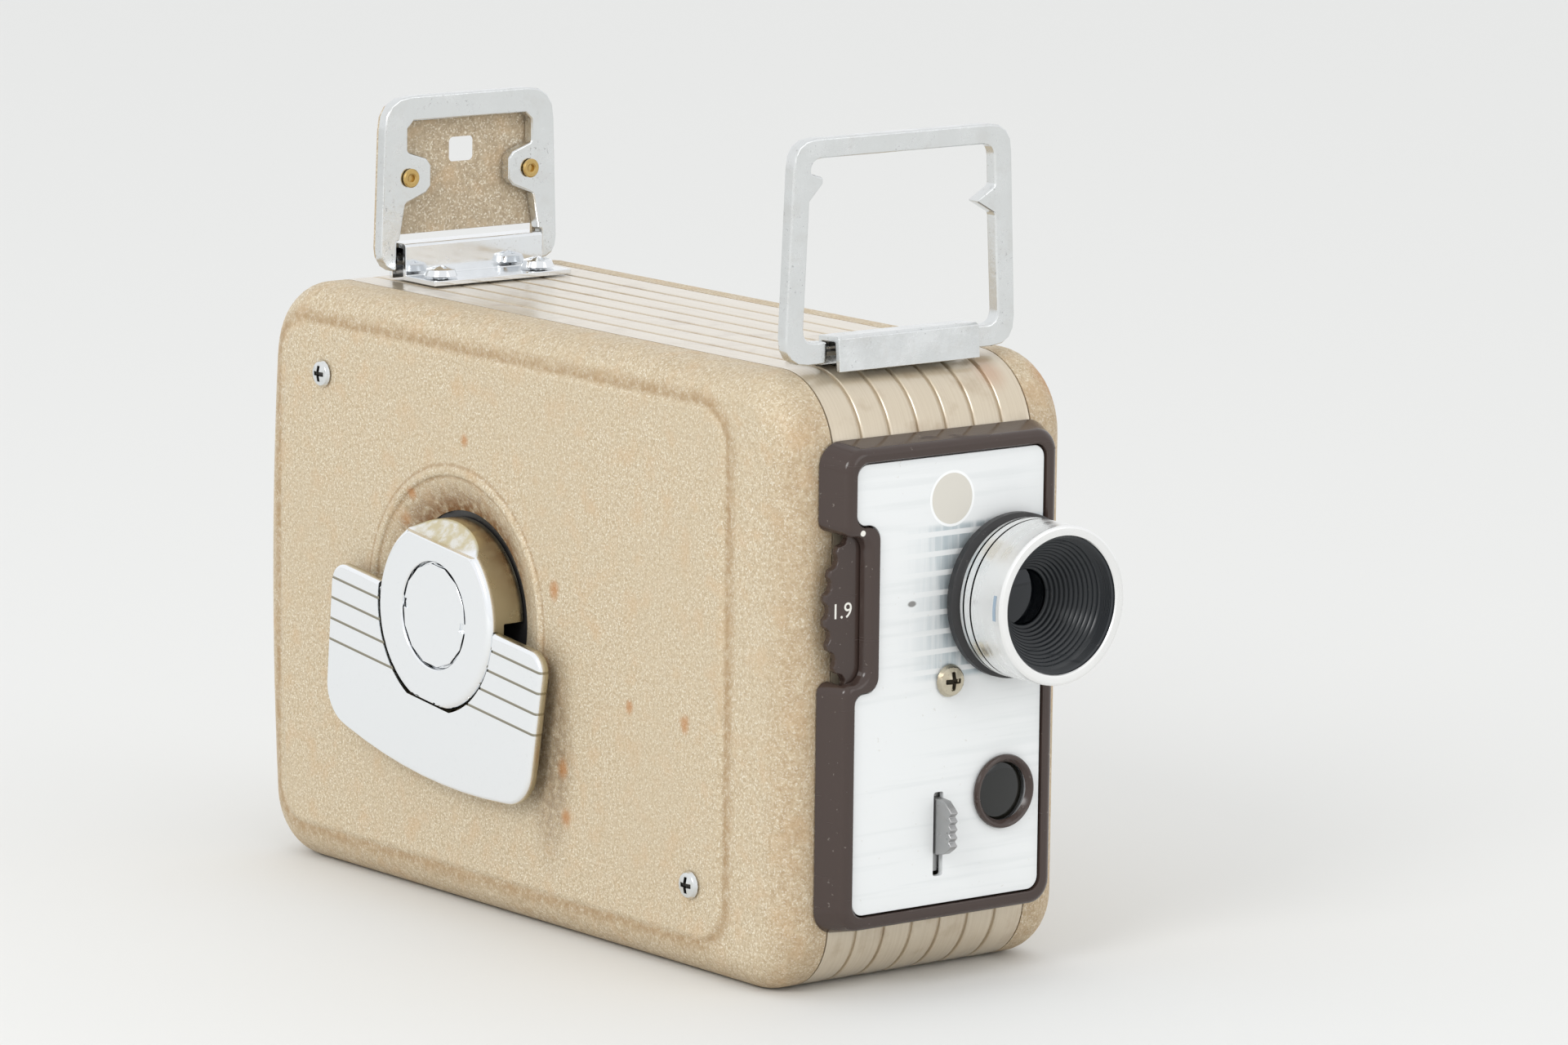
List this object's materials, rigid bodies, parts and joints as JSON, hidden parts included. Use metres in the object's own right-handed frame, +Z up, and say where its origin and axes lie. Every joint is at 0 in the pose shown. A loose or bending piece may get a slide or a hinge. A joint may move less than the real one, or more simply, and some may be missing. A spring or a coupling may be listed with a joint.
{
  "type": "cine camera",
  "caption": "Box-shaped spring-wound cine camera with ribbed centre band, folding winding key, short lens and two fold-down frame finders.",
  "frame": {"origin": "middle of the flat underside of the ribbed band", "axes": "+Z up, the lens looks along -Y, the winding key is on the -X side and the film door on the +X side"},
  "size_m": [0.0702, 0.1745, 0.1446],
  "materials": {
    "enamel": "fine wrinkle enamel, tan, worn and spotted with rust",
    "band_paint": "smooth satin metallic paint",
    "chrome": "bright chrome plate, lightly pitted",
    "bezel": "dark brown moulded plastic",
    "plate": "white satin paint with silvered stripes",
    "black": "black, satin",
    "aluminium": "turned and lacquered",
    "glass": "coated",
    "steel": "plain",
    "brass": "turned",
    "nickel": "nickel plate, slightly tarnished",
    "tan_paint": "matt tan paint",
    "dial": "white"
  },
  "bodies": {
    "chassis": {"body_band": "band_paint", "mechanism_cover": "enamel", "mechanism_plate": "steel", "motor_bridge": "brass", "motor_pillar_low_rear": "steel", "motor_pillar_low_front": "steel", "motor_pillar_top_rear": "steel", "motor_pillar_top_front": "steel", "tripod_bush": "steel", "cover_screw_rear": "nickel", "cover_screw_front": "nickel", "front_bezel": "bezel", "front_plate": "plate", "plate_screw": "nickel", "exposure_stud": "steel", "release_spring": "steel", "window_ring": "bezel", "window_glass": "glass", "lens_base_ring": "black", "lens_barrel": "aluminium", "lens_hood_cone": "black", "front_element": "glass", "rear_element": "glass", "front_finder_clip": "chrome", "rear_finder_bracket": "chrome", "bracket_screw_left": "chrome", "bracket_screw_right": "chrome", "film_gate": "steel"},
    "key": {"key_hub": "chrome", "key_cap": "chrome", "key_pin_rear": "steel", "key_pin_front": "steel", "winding_arbor": "steel"},
    "key_paddle": {"key_paddle": "chrome"},
    "exposure": {"exposure_wheel": "black"},
    "release": {"release_lever": "steel"},
    "front_finder": {"front_finder_frame": "chrome"},
    "rear_finder": {"rear_finder_frame": "chrome", "rear_finder_plate": "tan_paint", "finder_rivet_left": "brass", "finder_rivet_right": "brass"},
    "barrel": {"spring_barrel": "brass", "mainspring": "steel"},
    "stage_one": {"stage_one_gear": "brass"},
    "crown": {"crown_gear": "brass"},
    "shutter": {"shutter_shaft": "steel", "shutter_disc": "black"},
    "governor": {"governor": "brass"},
    "claw": {"claw": "steel"},
    "pressure_plate": {"pressure_plate": "steel"},
    "supply": {"supply_spindle": "steel"},
    "takeup": {"takeup_spindle": "steel"},
    "door": {"film_door": "enamel", "counter_window": "glass"},
    "latch": {"latch_knob": "chrome", "latch_bar": "steel"},
    "counter": {"counter_dial": "dial"}
  },
  "joints": [
    {"name": "key_turn", "type": "hinge", "parent": "chassis", "child": "key", "pos_m": [-0.034, 0.014, 0.0526], "axis": [-1, 0, 0], "continuous": true},
    {"name": "key_fold", "type": "hinge", "parent": "key", "child": "key_paddle", "pos_m": [-0.0344, 0.014, 0.0526], "axis": [0, 0.9923, 0.1236], "range_deg": [0, 90]},
    {"name": "exposure_turn", "type": "hinge", "parent": "chassis", "child": "exposure", "pos_m": [-0.0024, -0.0825, 0.0667], "axis": [0, 1, 0], "range_deg": [0, 96]},
    {"name": "release_slide", "type": "slide", "parent": "chassis", "child": "release", "axis": [0, 0, 1], "range_m": [-0.0034, 0], "stiffness_N_per_m": 200, "springref_m": 0.002},
    {"name": "front_finder_fold", "type": "hinge", "parent": "chassis", "child": "front_finder", "pos_m": [0, -0.06985, 0.1084], "axis": [-1, 0, 0], "range_deg": [0, 90]},
    {"name": "rear_finder_fold", "type": "hinge", "parent": "chassis", "child": "rear_finder", "pos_m": [0, 0.05415, 0.1093], "axis": [1, 0, 0], "range_deg": [0, 90]},
    {"name": "shutter_spin", "type": "hinge", "parent": "chassis", "child": "shutter", "pos_m": [0, -0.06, 0.06], "axis": [0, 1, 0], "continuous": true},
    {"name": "barrel_turn", "type": "hinge", "parent": "chassis", "child": "barrel", "pos_m": [-0.018, 0.014, 0.0526], "axis": [1, 0, 0], "continuous": true},
    {"name": "stage_one_turn", "type": "hinge", "parent": "chassis", "child": "stage_one", "pos_m": [-0.012, -0.0194, 0.0526], "axis": [1, 0, 0], "continuous": true},
    {"name": "crown_turn", "type": "hinge", "parent": "chassis", "child": "crown", "pos_m": [-0.009, -0.0346, 0.06], "axis": [1, 0, 0], "continuous": true},
    {"name": "governor_spin", "type": "hinge", "parent": "chassis", "child": "governor", "pos_m": [-0.014, -0.052, 0.03], "axis": [0, 0, 1], "continuous": true},
    {"name": "takeup_turn", "type": "hinge", "parent": "chassis", "child": "takeup", "pos_m": [0.009, 0.004, 0.034], "axis": [1, 0, 0], "continuous": true},
    {"name": "counter_turn", "type": "hinge", "parent": "door", "child": "counter", "pos_m": [0.0284, -0.034, 0.07], "axis": [1, 0, 0], "continuous": true},
    {"name": "supply_turn", "type": "hinge", "parent": "chassis", "child": "supply", "pos_m": [0.009, 0.046, 0.071], "axis": [1, 0, 0], "continuous": true},
    {"name": "claw_stroke", "type": "slide", "parent": "chassis", "child": "claw", "axis": [0, 0, 1], "range_m": [-0.0019, 0.0019]},
    {"name": "pressure_plate_slide", "type": "slide", "parent": "chassis", "child": "pressure_plate", "axis": [0, 1, 0], "range_m": [0, 0.0015], "stiffness_N_per_m": 100, "springref_m": -0.002},
    {"name": "door_lift", "type": "slide", "parent": "chassis", "child": "door", "axis": [1, 0, 0], "range_m": [0, 0.04]},
    {"name": "latch_turn", "type": "hinge", "parent": "door", "child": "latch", "pos_m": [0.03, 0.006, 0.0526], "axis": [1, 0, 0], "range_deg": [0, 90]}
  ],
  "couplings": [
    {"joint": "stage_one_turn", "follows": "barrel_turn", "ratio": -4},
    {"joint": "crown_turn", "follows": "barrel_turn", "ratio": 10},
    {"joint": "shutter_spin", "follows": "barrel_turn", "ratio": 40},
    {"joint": "governor_spin", "follows": "barrel_turn", "ratio": 60},
    {"joint": "takeup_turn", "follows": "barrel_turn", "ratio": 2},
    {"joint": "counter_turn", "follows": "barrel_turn", "ratio": 0.1}
  ]
}
